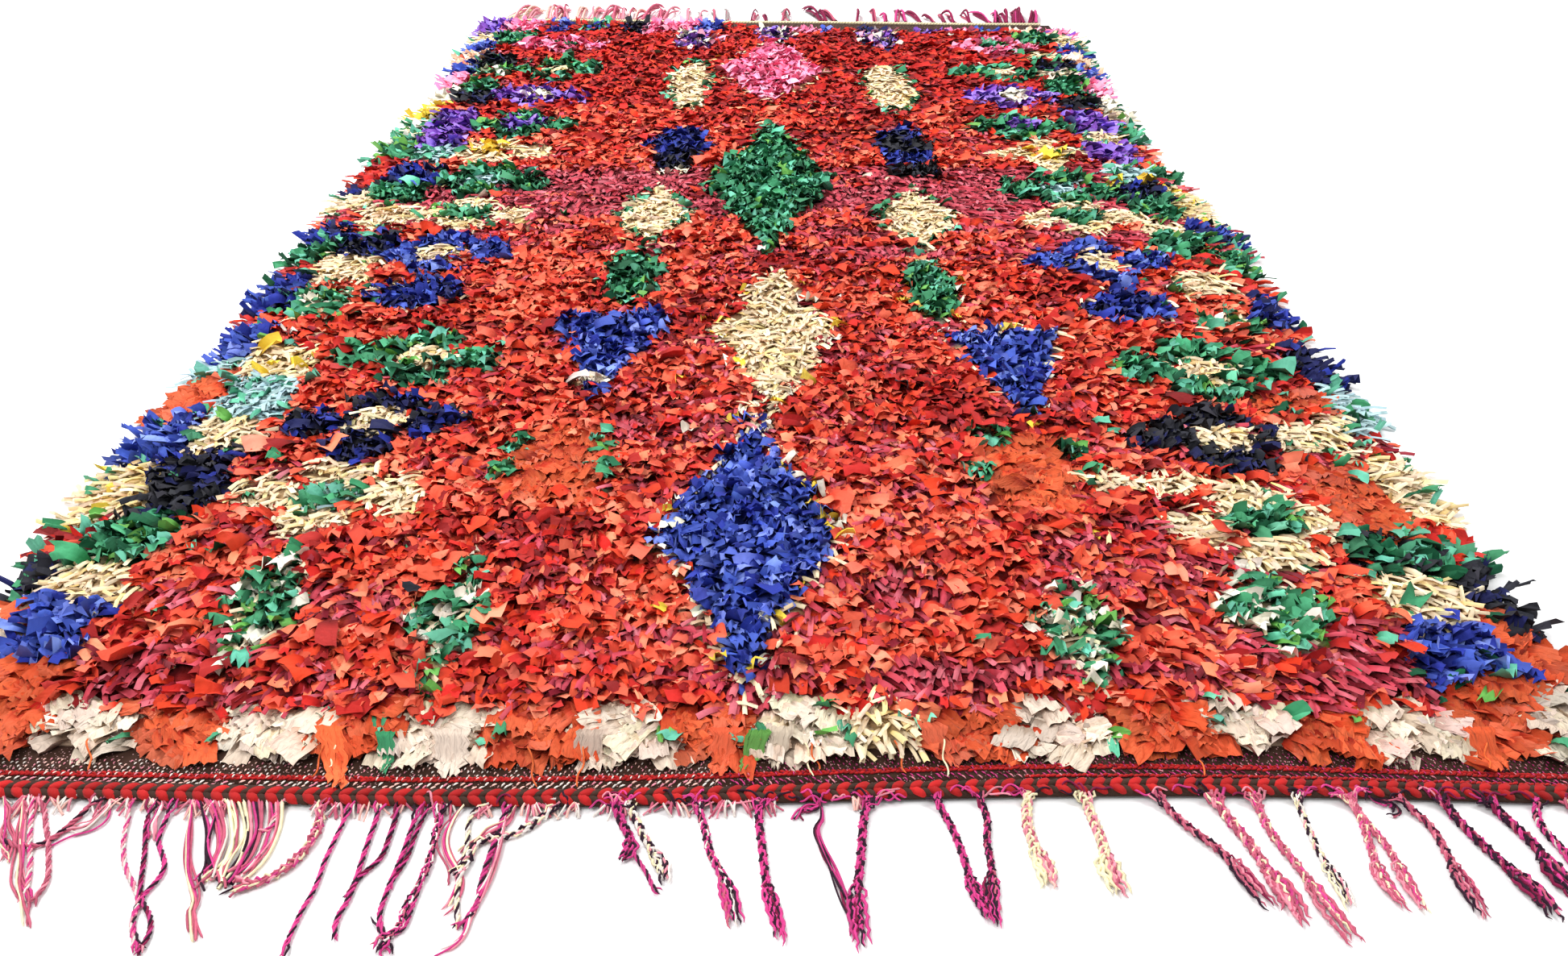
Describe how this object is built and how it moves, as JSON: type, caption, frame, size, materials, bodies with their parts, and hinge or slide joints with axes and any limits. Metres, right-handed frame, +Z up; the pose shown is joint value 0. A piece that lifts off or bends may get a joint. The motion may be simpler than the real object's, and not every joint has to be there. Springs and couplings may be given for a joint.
{
  "type": "moroccan rug",
  "caption": "Flat hand-knotted rag-pile rug with a woven ground, shaggy sides, a twined near edge with braided fringe and a corded, fringed far end.",
  "frame": {"origin": "middle of the flat underside, on the floor", "axes": "+X across the rug, +Y along it from the braided near end to the corded far end, +Z up out of the pile"},
  "size_m": [1.6881, 3.1953, 0.0394],
  "materials": {
    "ground_wool": "flat-woven dark brown wool with pale and pink warp flecks",
    "rag_pile": "torn cotton and jersey rags, matt, in red, orange, cream, blue and green",
    "twined_wool": "plump matt wool, red and dark brown",
    "fringe_yarn": "braided warp yarn in pink, magenta, cream and black",
    "cream_cord": "twisted pale wool cord"
  },
  "bodies": {
    "root": {"ground_weave": "ground_wool", "pile": "rag_pile", "twined_edge": "twined_wool", "near_fringe": "fringe_yarn", "far_cord": "cream_cord", "far_fringe": "fringe_yarn"}
  },
  "joints": []
}
